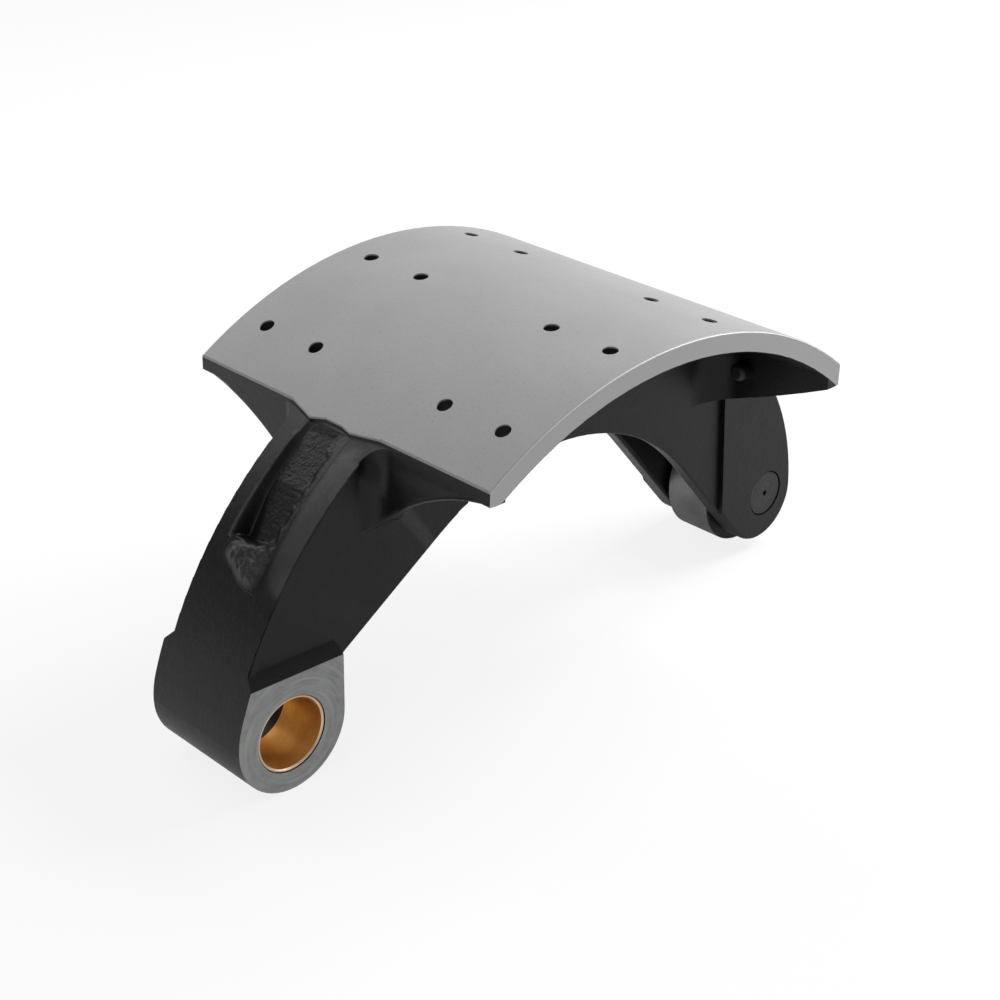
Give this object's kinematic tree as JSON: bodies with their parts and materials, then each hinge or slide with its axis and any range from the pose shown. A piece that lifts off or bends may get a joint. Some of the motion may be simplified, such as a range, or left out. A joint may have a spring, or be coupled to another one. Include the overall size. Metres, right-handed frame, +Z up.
{
  "type": "drum brake shoe",
  "caption": "Cast drum brake shoe without lining: curved drilled table, anchor boss with bronze bushes, and a steel cam roller on a pin in a fork.",
  "frame": {"origin": "middle of the anchor bore", "axes": "+X from the anchor end to the cam end, +Y across the brake along the anchor bore, +Z up; the shoe stands on its boss and its roller"},
  "size_m": [0.3671, 0.18, 0.1729],
  "materials": {
    "casting": "satin black paint, machined grey on the table and the boss faces",
    "bush_bronze": "plain bronze",
    "roller_steel": "ground",
    "pin_steel": "dark, turned ends",
    "peg_steel": "painted with the casting"
  },
  "bodies": {
    "shoe": {"shoe_casting": "casting", "anchor_bush_near": "bush_bronze", "anchor_bush_far": "bush_bronze", "roller_pin": "pin_steel", "spring_peg_near": "peg_steel", "spring_peg_far": "peg_steel"},
    "roller": {"cam_roller": "roller_steel"}
  },
  "joints": [
    {"name": "roller_turn", "type": "hinge", "parent": "shoe", "child": "roller", "pos_m": [0.3101, 0, 0.0035], "axis": [0, 1, 0], "continuous": true}
  ]
}
